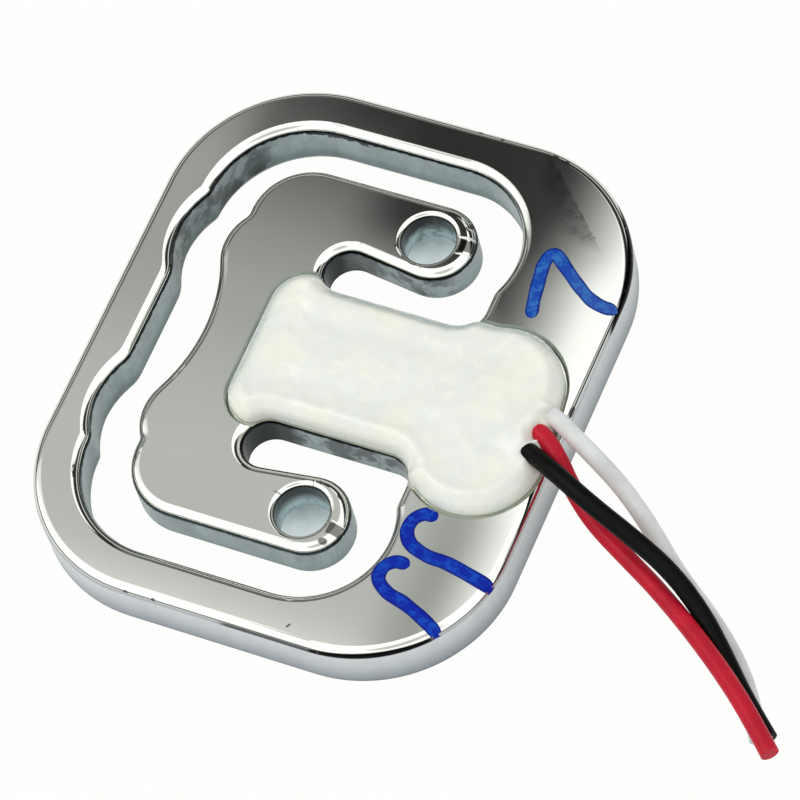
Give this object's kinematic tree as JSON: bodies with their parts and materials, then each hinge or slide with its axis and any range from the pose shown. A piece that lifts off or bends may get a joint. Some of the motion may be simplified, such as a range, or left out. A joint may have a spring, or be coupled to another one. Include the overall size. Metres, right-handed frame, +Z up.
{
  "type": "sheet load cell",
  "caption": "Flat steel half-bridge load cell with a slotted ring, an inner plate on a bending beam, a sealed strain gauge and three free leads.",
  "frame": {"origin": "middle of the sheet's outline, on the surface that the sheet's outer ring stands on", "axes": "+Z up, away from the surface and through the sheet's thickness; +X along the bending beam towards the leads; +Y along the line of the two mounting holes"},
  "size_m": [0.0467, 0.034, 0.0054],
  "materials": {
    "plate_steel": "bright plated, near mirror",
    "silicone": "semi-gloss",
    "gauge_resin": "gloss",
    "gauge_backing": "gloss",
    "gauge_foil": "satin",
    "gauge_film": "gloss",
    "sleeve_red": "semi-gloss",
    "sleeve_black": "semi-gloss",
    "sleeve_white": "semi-gloss",
    "tinned_copper": "satin",
    "solder": "satin"
  },
  "bodies": {
    "root": {"steel_plate": "plate_steel", "sealant": "silicone", "gauge_bond": "gauge_resin", "gauge_backing": "gauge_backing", "gauge_foil": "gauge_foil", "gauge_film": "gauge_film", "lead_red": "sleeve_red", "lead_black": "sleeve_black", "lead_white": "sleeve_white", "core_red": "tinned_copper", "core_black": "tinned_copper", "core_white": "tinned_copper", "solder_red": "solder", "solder_black": "solder", "solder_white": "solder"}
  },
  "joints": []
}
